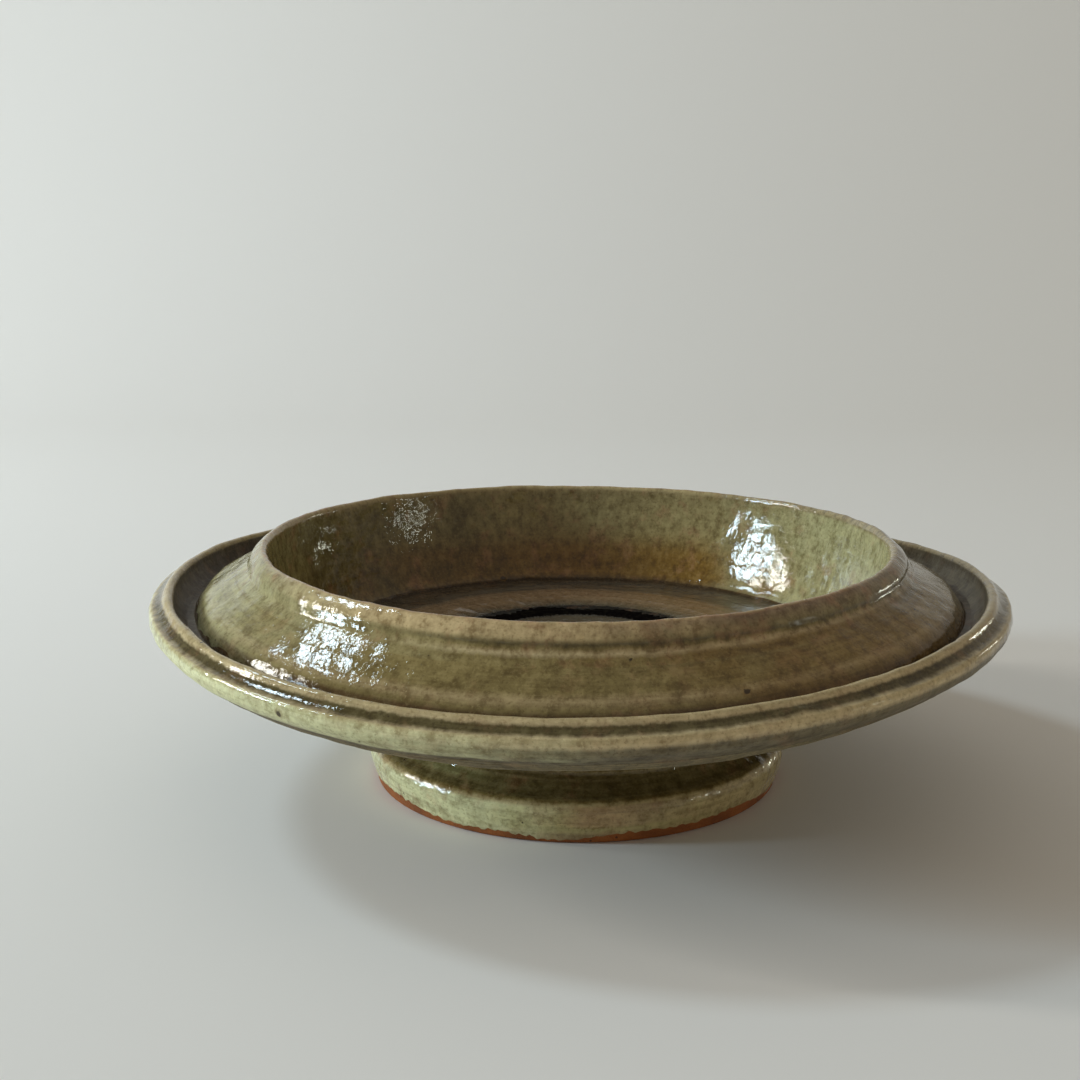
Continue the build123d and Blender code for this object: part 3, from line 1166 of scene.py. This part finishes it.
# Violet-grey in the gutter and dark brown at the collar's foot: pooled glaze, deepened by painted shade in
# the trench.
GUTTER_ZONES = (
    Zone(Mark.LIP_CREST, 2.8, Tone.VIOLET_GREY, 0.8),
    Zone(Mark.GUTTER, 0.5, Tone.VIOLET_GREY, 0.8),
    Zone(Mark.GUTTER, 3.5, Tone.DARK_BROWN, 0.2),
    Zone(Mark.GUTTER, 4.6, Tone.DARK_BROWN),
    Zone(Mark.GUTTER, 6.0, Tone.OLIVE),
)
FLANGE_GLAZE = AshGlaze(
    "ash_glaze_flange",
    (
        # Grey-lilac under the flange and up the lip's lower rounding, which faces down: the glaze's tone
        # there, with painted shade and a painted floor reflection on the rounding.
        Zone(Mark.UNDER_JOINT, -1.0, Tone.GREY_LILAC, 1.0),
        Zone(Mark.LIP_EDGE, 0.0, Tone.GREY_LILAC, 1.0),
        Zone(Mark.LIP_EDGE, 5.4, Tone.GREY_LILAC, 0.6),
        Zone(Mark.LIP_EDGE, 6.5, Tone.SAND),
        Zone(Mark.LIP_RIDGE, 0.0, Tone.SAND),
        Zone(Mark.LIP_GROOVE, -0.3, Tone.UMBER),
        Zone(Mark.LIP_GROOVE, 1.4, Tone.UMBER),
        Zone(Mark.LIP_GROOVE, 2.1, Tone.SAND),
        Zone(Mark.LIP_CREST, 0.9, Tone.TAN),
        *GUTTER_ZONES,
        Zone(Mark.GUTTER, 8.5, Tone.TAN),
        Zone(Mark.GUTTER, 11.0, Tone.OLIVE),
        Zone(Mark.COLLAR_JOINT, 1.0, Tone.OLIVE),
    ),
    (
        # Paler and greener on the left, towards the window, browner and mauve on the right, away from it:
        # partly glaze tint, partly painted light, painted shade and a painted reflection of the grey room.
        Side(-80.0, Tone.LIT_CELADON, 1.0, Mark.LIP_EDGE, Mark.LIP_RIDGE, 0.0, 0.75),
        Side(-105.0, Tone.PALE_GREEN, 0.65, Mark.GUTTER, Mark.COLLAR_JOINT, 0.3, 0.9),
        Side(60.0, Tone.BROWN, 0.6, Mark.GUTTER, Mark.COLLAR_JOINT, 0.55, 1.0),
        Side(100.0, Tone.MAUVE, 0.6, Mark.LIP_EDGE, Mark.COLLAR_JOINT, 0.5, 1.0, 0.3),
    ),
    ragged=0.6,
    streaks=0.05,
    lines=0.35,
)
RIM_GLAZE = AshGlaze(
    "ash_glaze_rim",
    (
        Zone(Mark.COLLAR_JOINT, -1.0, Tone.OLIVE),
        Zone(Mark.COLLAR_RIDGE, -1.6, Tone.OLIVE),
        Zone(Mark.COLLAR_RIDGE, -0.4, Tone.SAND),
        Zone(Mark.COLLAR_RIDGE, 0.5, Tone.TAN),
        # Dark line in the ledge under the rim band: painted shade.
        Zone(Mark.COLLAR_RIDGE, 1.1, Tone.OLIVE),
        Zone(Mark.COLLAR_RIDGE, 2.0, Tone.DARK_OLIVE),
        Zone(Mark.COLLAR_RIDGE, 3.4, Tone.GREY_OLIVE),
        Zone(Mark.RIM, -1.2, Tone.DUN),
        Zone(Mark.RIM, 0.2, Tone.BLUSH),
        Zone(Mark.RIM, 1.6, Tone.TAN),
        Zone(Mark.MOUTH, 1.5, Tone.GREY_OLIVE),
        Zone(Mark.WALL_MIDDLE, -5.0, Tone.OLIVE),
        Zone(Mark.WALL_MIDDLE, 4.0, Tone.BROWN),
        Zone(Mark.WALL_FOOT, -3.0, Tone.BROWN),
        # Darkest at the corner of wall and floor: thick glaze, deepened by painted shade in the corner.
        Zone(Mark.WALL_FOOT, 0.5, Tone.DARK_BROWN),
    ),
    (
        Side(175.0, Tone.MOSS, 0.8, Mark.MOUTH, Mark.WALL_MIDDLE, 0.3, 0.9, 0.8, 8.0),
        # Paler green on the inner wall's right side, which faces the window: partly glaze tint, partly
        # painted light.
        Side(85.0, Tone.PALE_GREEN, 0.7, Mark.MOUTH, Mark.WALL_FOOT, 0.4, 0.9),
        Side(-80.0, Tone.GREY_GREEN, 0.5, Mark.MOUTH, Mark.WALL_FOOT, 0.5, 0.95),
        Side(-130.0, Tone.UMBER, 0.6, Mark.MOUTH, Mark.WALL_FOOT, 0.7, 1.05, 0.5, 6.0),
        # Honey on the rim band at the front left and paler green on the collar's left, towards the window:
        # partly the glaze breaking tan and green, partly painted sheen and painted light.
        Side(-22.0, Tone.HONEY, 0.75, Mark.RIM_BAND, Mark.RIM, 0.65, 1.05),
        Side(-75.0, Tone.MOSS, 0.85, Mark.COLLAR_JOINT, Mark.RIM_BAND, 0.35, 0.75),
        Side(-105.0, Tone.PALE_GREEN, 0.65, Mark.COLLAR_JOINT, Mark.RIM, 0.3, 0.9),
        # Browner and mauve on the right, away from the window: partly glaze tint, partly painted shade with a
        # painted reflection of the grey room.
        Side(50.0, Tone.BROWN, 0.6, Mark.COLLAR_JOINT, Mark.COLLAR_RIDGE, 0.6, 1.0),
        Side(100.0, Tone.MAUVE, 0.9, Mark.COLLAR_JOINT, Mark.MOUTH, 0.5, 0.95),
    ),
    ragged=0.7,
    lines=0.15,
    blush=0.4,
)
FLOOR_GLAZE = AshGlaze(
    "ash_glaze_floor",
    (
        # Dark band along the corner of wall and floor: thick dark glaze, deepened by painted shade in the
        # corner.
        Zone(Mark.WALL_FOOT, -1.0, Tone.DARK_BROWN),
        Zone(Mark.WALL_FOOT, 1.5, Tone.IRON),
        Zone(Mark.WALL_FOOT, 5.0, Tone.GREY_TEAL),
        Zone(Mark.FLOOR_CREST, -11.0, Tone.GREY_TEAL),
        Zone(Mark.FLOOR_CREST, -7.0, Tone.DUN),
        Zone(Mark.FLOOR_CREST, 5.0, Tone.DUN),
        Zone(Mark.FLOOR_CREST, 12.0, Tone.GREY_TEAL),
        Zone(Mark.FLOOR_CREST, 13.2, Tone.BLACK, 1.0),
        Zone(Mark.MIDDLE, 0.0, Tone.BLACK, 1.0),
    ),
    ragged=0.8,
    streaks=0.0,
    mottle=0.4,
    lines=0.2,
)
GUTTER_GLAZE = AshGlaze(
    "pooled_glaze_and_shade_gutter",
    GUTTER_ZONES,
    ragged=0.6,
    lines=0.35,
)
CENTER_GLAZE = AshGlaze(
    "dark_glaze_center",
    (
        Zone(Mark.FLOOR_CREST, 8.0, Tone.BLACK, 1.0),
        Zone(Mark.FLOOR_CREST, 24.0, Tone.BLACK, 1.0),
        # Grey middle inside the black ring: painted reflection, standing in for the glossy pool's sheen.
        Zone(Mark.FLOOR_CREST, 27.0, Tone.GREY_TEAL),
        Zone(Mark.MIDDLE, 0.0, Tone.GREY_TEAL),
    ),
    streaks=0.0,
    mottle=0.1,
    lines=0.1,
    flecks=0.0,
    specks=0.0,
    blush=0.0,
    shine=0.4,
)


@dataclass
class Assembly:
    """Pieces turned on one lathe, each dressed and tied to the part that it stands for."""

    lathe: Lathe
    section: Section
    count: int = 384
    clay_count: int = 192
    ragged: tuple[Ripple, ...] = ()
    pool_bed: float = 0.3
    pieces: list[Item] = field(default_factory=list)

    def keep(self, item: Item, node: str, slot: Slot, finish: Material) -> None:
        """Dresses a piece and ties it to the part that it stands for.

        Args:
            item: the piece.
            node: name of the part.
            slot: the part's material slot; not used.
            finish: the material that the piece wears.
        """
        item.data.materials.append(finish)
        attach(item, "root")
        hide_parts(node)
        log.info("%s: %d faces for %s", item.name, len(item.data.polygons), node)
        self.pieces.append(item)

    def coat(
        self,
        name: str,
        node: str,
        glaze: AshGlaze,
        span: tuple[Grid | float, float],
        step: float,
        rolled: float = 0.0,
    ) -> None:
        """Lays a coat of glaze over a span of the skin."""
        item = self.lathe.coat(name, *span, step, self.count, self.section.coat, rolled)
        self.keep(item, node, Slot.ASH_GLAZE, glaze.material(self.lathe.skin))

    def stray(self, turn: Grid) -> Grid:
        """How far a ragged edge strays at each angle, in millimetres."""
        return sum(wave.at(np.zeros((1, 1)), turn) for wave in self.ragged)

    def ground(self, radius: Grid, turn: Grid, first: float, last: float = math.inf) -> Grids:
        """The surface under a pool of set glaze.

        Args:
            radius: radius of each place.
            turn: angle of each place round the axis.
            first: distance along the skin from which the pool may lie.
            last: distance up to which it may lie.

        Returns:
            The distance along the skin and the height of each place.
        """
        skin = self.lathe.skin
        near = (skin.along > first) & (skin.along < last)
        order = np.argsort(skin.radius[near])
        across = skin.radius[near][order]
        along, height = (np.interp(radius, across, kept[near][order]) for kept in (skin.along, skin.height))
        return along, height + self.lathe.relief.at(along, turn)


@dataclass
class Foot(Assembly):
    """The waisted foot ring: clay, luting slip and a glaze coat that stops short of the table."""

    ragged: tuple[Ripple, ...] = (Ripple(21, 0.45, 3, 12, 1e6), Ripple(22, 0.24, 30, 130, 1e6))
    slip_count: int = 160
    line_height: float = 3.2
    line_range: Point = (0.5, 6.0)
    run_turn: float = -0.13
    run_width: float = 0.20
    run_depth: float = 2.5
    base_round: float = 0.6
    bare_sink: float = 0.2
    coat_sink: float = 0.66
    coat_range: Point = (0.3, 0.9)
    band_height: float = 7.0
    wall_range: Point = (7.5, -1.0)
    band_rings: int = 36
    wall_rings: int = 50
    base_tuck: float = 0.1
    bore_bevel: Point = (0.2, 0.5)
    slip_gap: float = 0.3
    slip_bulge: float = 0.1
    step: float = 0.42
    rolled: float = 1.3

    def build(self) -> None:
        """Builds and dresses the pieces of the foot."""
        turn = self.lathe.turns(self.count)
        self._clay(turn)
        self._slip()
        span = self._glaze_line(turn), self.lathe.skin.at(Mark.FOOT_TOP)
        self.coat("foot_coat", "foot_glaze", FOOT_GLAZE, span, self.step, self.rolled)

    def _glaze_line(self, turn: Grid) -> Grid:
        """Distance along the skin at which the glaze stops, for each angle."""
        run = self.run_depth * np.exp(-(((turn - self.run_turn) / self.run_width) ** 2))
        return np.clip(self.line_height + self.stray(turn) - run, *self.line_range)

    def _clay(self, turn: Grid) -> None:
        """Builds the clay ring, with its bare band and rounded base edges.

        Args:
            turn: angles round the axis.
        """
        skin, section = self.lathe.skin, self.section
        band = np.linspace(0.0, self.band_height, self.band_rings)
        above = np.linspace(self.wall_range[0], skin.at(Mark.FOOT_TOP, self.wall_range[1]), self.wall_rings)
        along = np.repeat(np.concatenate([band, above])[:, None], self.count, 1)
        sunk = self.bare_sink + self.coat_sink * smooth(*self.coat_range, along - self._glaze_line(turn))
        edge = np.clip(1.0 - along / self.base_round, 0.0, 1.0)
        sunk = sunk + self.base_round * (1.0 - np.sqrt(1.0 - edge**2))
        radius, height = self.lathe.surface(along, turn, sunk)
        radius[0], height[0] = radius[0] - self.base_tuck, 0.0
        bore = Outline(section.bore_top)
        bore.through(section.bore_waist, section.bore_base)
        inside = bore.line_points()[::8]
        inside[:, 1] = np.minimum(inside[:, 1], section.foot_top[1] - section.slip)
        base, bevel = section.bore_base[0], self.bore_bevel
        inside = np.vstack([inside[:-1], [(base - bevel[0], bevel[1]), (base + self.base_tuck, 0.0)]])
        ring = np.ones((1, self.count))
        radius = np.vstack([radius, inside[:, :1] * ring])
        height, marks = (np.vstack([outside, inside[:, 1:] * ring]) for outside in (height, along))
        item = self.lathe.piece("foot_clay", radius, height, turn, marks, (len(along) - 1, len(along)))
        self.keep(item, "foot_ring", Slot.CLAY, CLAY.material())

    def _slip(self) -> None:
        """Builds the luting slip between the foot and the bowl."""
        top, slip = self.section.foot_top, self.section.slip
        inner, outer = self.section.bore_top[0], top[0] - self.section.coat - self.slip_gap
        low, high = top[1] - slip, top[1]
        bulge = (outer + self.slip_bulge, (low + high) / 2.0)
        loop = np.array([(inner, low), (outer, low), bulge, (outer, high), (inner, high)])
        item = self.lathe.turned("foot_luting", loop, self.slip_count)
        self.keep(item, "foot_slip", Slot.SLIP, SLIP.material())


@dataclass
class Flange(Assembly):
    """The flange round the wall: clay, luting slip, glaze coat and the glaze set in its gutter."""

    ragged: tuple[Ripple, ...] = (Ripple(31, 0.30, 3, 14, 1e6), Ripple(32, 0.22, 20, 90, 1e6))
    pool_level: float = 53.75
    pool_inner: float = 114.9
    pool_outer: float = 118.2
    pool_rise: float = 0.12
    pool_drop: float = 0.04
    pool_edge: float = 0.14
    pool_rings: int = 44
    clay_rings: int = 120
    slip_gap: float = 0.02
    slip_ends: Point = (0.4, 0.6)
    step: float = 0.42

    def build(self) -> None:
        """Builds and dresses the pieces of the flange."""
        span = self.lathe.skin.at(Mark.UNDER_JOINT), self.lathe.skin.at(Mark.COLLAR_JOINT)
        self._clay(span)
        self._slip(span)
        self.coat("flange_coat", "flange_glaze", FLANGE_GLAZE, span, self.step)
        self._pool()

    def _clay(self, span: Point) -> None:
        """Builds the clay ring under the coat.

        Args:
            span: distances along the skin at which the ring starts and ends.
        """
        turn = self.lathe.turns(self.clay_count)
        along = np.linspace(*span, self.clay_rings)[:, None]
        radius, height = self.lathe.clay(along, turn, self.section.coat)
        radius = np.maximum(radius, self.section.joint_radius)
        item = self.lathe.piece("flange_clay", radius, height, turn, along, (0, len(along) - 1))
        self.keep(item, "flange_ring", Slot.CLAY, CLAY.material())

    def _slip(self, span: Point) -> None:
        """Builds the luting slip between the bowl's wall and the flange.

        Args:
            span: distances along the skin of the flange's two joints with the bowl.
        """
        skin, section = self.lathe.skin, self.section
        outer = section.joint_radius - self.slip_gap
        inner = section.joint_radius - section.slip + self.slip_gap
        low, high = skin.read(skin.height, np.array(span))
        low, high = low + section.coat + self.slip_ends[0], high - section.coat - self.slip_ends[1]
        heights = (low, (low + high) / 2.0, high)
        loop = np.array([(inner, low), *((outer, z) for z in heights), *((inner, z) for z in heights[:0:-1])])
        item = self.lathe.turned("flange_luting", loop, self.clay_count)
        self.keep(item, "flange_slip", Slot.SLIP, SLIP.material())

    def _pool(self) -> None:
        """Builds the set glaze lying in the gutter, level but for its drawn-up edges."""
        skin, turn = self.lathe.skin, self.lathe.turns(self.count)
        stray = self.stray(turn)
        share = (1.0 - np.cos(np.linspace(0.0, math.pi, self.pool_rings)))[:, None] / 2.0
        inner, outer = self.pool_inner + stray, self.pool_outer + stray[:, ::-1]
        radius = inner + (outer - inner) * share
        along, ground = self.ground(radius, turn, skin.at(Mark.LIP_CREST), skin.at(Mark.COLLAR_JOINT))
        edge = smooth(0.0, self.pool_edge, np.minimum(share, 1.0 - share))
        top = np.maximum(self.pool_level, ground - self.pool_drop + self.pool_rise * edge)
        rings = ((radius, radius), (top, ground - self.pool_bed), (along, along))
        radius, height, along = (np.vstack([above, below[::-2]]) for above, below in rings)
        item = self.lathe.piece("gutter_set_glaze", radius, height, turn, along, (0, len(share) - 1))
        self.keep(item, "gutter_pool", Slot.POOLED_GLAZE, GUTTER_GLAZE.material(skin))


@dataclass
class Bowl(Assembly):
    """The bowl itself: clay, the coats on its belly, rim and floor, and the dark glaze set in its middle."""

    ragged: tuple[Ripple, ...] = (Ripple(41, 0.9, 3, 12, 1e6), Ripple(42, 0.55, 20, 110, 1e6))
    pool_level: float = 41.28
    pool_radius: float = 38.6
    pool_start: float = 12.0
    pool_edge: float = 0.5
    pool_drop: float = 0.12
    pool_rise: float = 0.22
    pool_least: float = 0.10
    pool_rings: int = 60
    ceiling_rings: int = 12
    belly_rings: int = 60
    inner_rings: int = 170
    belly_start: float = 1.2
    belly_step: float = 0.5
    rim_step: float = 0.36
    floor_step: float = 0.55

    def build(self) -> None:
        """Builds and dresses the pieces of the bowl."""
        skin = self.lathe.skin
        foot, under, collar, wall = (
            skin.at(mark) for mark in (Mark.FOOT_TOP, Mark.UNDER_JOINT, Mark.COLLAR_JOINT, Mark.WALL_FOOT)
        )
        self._clay()
        self.coat("belly_coat", "belly_glaze", BELLY_GLAZE, (foot, under), self.belly_step)
        self.coat("rim_coat", "rim_glaze", RIM_GLAZE, (collar, wall), self.rim_step)
        self.coat("floor_coat", "floor_glaze", FLOOR_GLAZE, (wall, skin.along[-1]), self.floor_step)
        self._pool()

    def _clay(self) -> None:
        """Builds the clay under the coats, bare inside the foot."""
        skin, turn, section = self.lathe.skin, self.lathe.turns(self.clay_count), self.section
        start = skin.at(Mark.FOOT_TOP, self.belly_start)
        belly = np.linspace(start, skin.at(Mark.UNDER_JOINT), self.belly_rings)[:, None]
        above = np.linspace(skin.at(Mark.COLLAR_JOINT), skin.along[-1], self.inner_rings)[:, None]
        under, over = (self.lathe.clay(along, turn, section.coat) for along in (belly, above))
        over[0][-1] = 0.0
        wall = section.joint_radius - section.slip
        top = section.foot_top[1]
        ceiling = np.linspace((0.0, top), (section.bore_top[0], top), self.ceiling_rings)
        ring = np.ones((1, self.clay_count))
        radius = np.vstack([ceiling[:, :1] * ring, np.minimum(under[0], wall), np.minimum(over[0], wall)])
        height = np.vstack([ceiling[:, 1:] * ring, under[1], over[1]])
        along = np.vstack([ceiling[:, 1:], belly, above]) * ring
        ends = len(ceiling), len(ceiling) + len(belly)
        sharp = tuple(end - step for end in ends for step in (1, 0))
        item = self.lathe.piece("bowl_clay", radius, height, turn, along, sharp)
        self.keep(item, "bowl", Slot.CLAY, CLAY.material())

    def _pool(self) -> None:
        """Builds the dark glaze set in the middle of the floor, with a ragged edge."""
        skin, turn = self.lathe.skin, self.lathe.turns(self.count)
        share = np.sin(np.linspace(0.0, math.pi / 2.0, self.pool_rings))[:, None]
        radius = (self.pool_radius + self.stray(turn)) * share
        along, ground = self.ground(radius, turn, skin.at(Mark.WALL_FOOT, self.pool_start))
        left = (1.0 - share) * self.pool_radius
        edge = ground - self.pool_drop + self.pool_rise * np.sqrt(left / self.pool_edge)
        top = np.where(left < self.pool_edge, edge, np.maximum(self.pool_level, ground + self.pool_least))
        radius[0] = 0.0
        rings = ((radius, radius), (top, ground - self.pool_bed), (along, along))
        radius, height, along = (np.vstack([above, below[::-1]]) for above, below in rings)
        item = self.lathe.piece("center_set_glaze", radius, height, turn, along, (len(share) - 1,))
        self.keep(item, "center_pool", Slot.DARK_GLAZE, CENTER_GLAZE.material(skin))


@dataclass
class Softbox:
    """A plain oval lamp aimed at the bowl."""

    name: str
    turn: float
    rise: float
    distance: float
    width: float
    height: float
    brightness: float
    colour: Colour

    def hang(self, target: Triple) -> None:
        """Hangs the lamp at its angle round the target and aims it there.

        Args:
            target: the point that it is aimed at, in metres.
        """
        lamp = bpy.data.lights.new(self.name, "AREA")
        lamp.shape = "ELLIPSE"
        lamp.size, lamp.size_y = self.width, self.height
        lamp.energy = self.brightness * math.pi * self.width * self.height
        lamp.color = self.colour
        item = bpy.data.objects.new(self.name, lamp)
        turn, rise = math.radians(self.turn), math.radians(self.rise)
        flat = self.distance * math.cos(rise)
        item.location = (
            target[0] + flat * math.sin(turn),
            target[1] - flat * math.cos(turn),
            target[2] + self.distance * math.sin(rise),
        )
        item.rotation_euler = (math.pi / 2.0 - rise, 0.0, turn)
        bpy.context.scene.collection.objects.link(item)


@dataclass
class Studio:
    """Pale paper sweep, soft daylight from the left, a dim room and the camera."""

    paper: Colour = (0.83, 0.81, 0.78)
    paper_rough: float = 0.95
    room: Colour = (0.31, 0.28, 0.235)
    half_width: float = 1.1
    front: float = -1.6
    bend: float = 0.75
    bend_radius: float = 0.55
    bend_steps: int = 24
    top: float = 1.9
    aim: Triple = (0.0, 0.0, 0.05)
    camera_place: Triple = (-0.01126, -0.47684, 0.17569)
    camera_dip: float = 12.202
    lens: float = 53.333
    sensor: float = 36.0
    nearest: float = 0.01
    lamps: tuple[Softbox, ...] = (
        Softbox("window_left", -84.0, 17.0, 1.70, 0.22, 0.34, 56.0, (0.66, 0.86, 1.0)),
        Softbox("window_high_left", -112.0, 47.0, 1.70, 0.30, 0.26, 26.0, (0.70, 0.88, 1.0)),
        Softbox("window_far_left", -99.0, 22.0, 1.70, 0.10, 0.52, 50.0, (1.0, 0.98, 0.90)),
        Softbox("window_right", 72.0, 8.0, 1.50, 0.13, 0.05, 26.0, (0.95, 1.0, 0.86)),
        Softbox("door_right", 122.0, 7.0, 1.50, 0.12, 0.05, 40.0, (0.95, 1.0, 0.82)),
    )

    def build(self) -> None:
        """Sets up the paper, the lamps, the room and the camera."""
        self._sweep()
        for lamp in self.lamps:
            lamp.hang(self.aim)
        self._room()
        self._camera()

    def _sweep(self) -> None:
        """The paper sweep, flat under the bowl and curving up behind it."""
        angles = np.linspace(-math.pi / 2.0, 0.0, self.bend_steps)
        size = self.bend_radius
        back = [(self.bend + size * math.cos(angle), size * (1.0 + math.sin(angle))) for angle in angles]
        line = [(self.front, 0.0), *back, (self.bend + size, self.top)]
        points = [(side * self.half_width, y, z) for y, z in line for side in (-1.0, 1.0)]
        faces = [(2 * n, 2 * n + 1, 2 * n + 3, 2 * n + 2) for n in range(len(line) - 1)]
        mesh = bpy.data.meshes.new("paper_sweep")
        mesh.from_pydata(points, [], faces)
        mesh.polygons.foreach_set("use_smooth", np.ones(len(mesh.polygons), bool))
        paint = Paint("pale_paper")
        mesh.materials.append(paint.finish({"Base Color": (*self.paper, 1.0), "Roughness": self.paper_rough}))
        item = bpy.data.objects.new("paper_sweep", mesh)
        bpy.context.scene.collection.objects.link(item)

    def _room(self) -> None:
        """The dim room light."""
        world = bpy.data.worlds.new("dim_room")
        world.use_nodes = True
        world.node_tree.nodes["Background"].inputs["Color"].default_value = (*self.room, 1.0)
        bpy.context.scene.world = world

    def _camera(self) -> None:
        """The camera at the photo's viewing angle."""
        camera = bpy.data.cameras.new("camera")
        camera.sensor_fit = "HORIZONTAL"
        camera.sensor_width = self.sensor
        camera.lens = self.lens
        camera.clip_start = self.nearest
        item = bpy.data.objects.new("camera", camera)
        item.location = self.camera_place
        item.rotation_euler = (math.radians(90.0 - self.camera_dip), 0.0, 0.0)
        scene = bpy.context.scene
        scene.collection.objects.link(item)
        scene.camera = item
        scene.view_settings.view_transform = "Standard"


def main() -> None:
    """Builds the suiban and the studio around it."""
    logging.basicConfig(level=logging.INFO, format="%(name)s: %(message)s")
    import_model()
    section = Section()
    skin = Skin(section)
    lathe = Lathe(skin, Relief(skin), KilnSag())
    foot_lathe = replace(lathe, spread=section.base_edge[0])
    for assembly in (Foot(foot_lathe, section), Flange(lathe, section), Bowl(lathe, section)):
        assembly.build()
        log.info("%s: %d pieces", type(assembly).__name__.lower(), len(assembly.pieces))
    Studio().build()


if __name__ == "__main__":
    main()
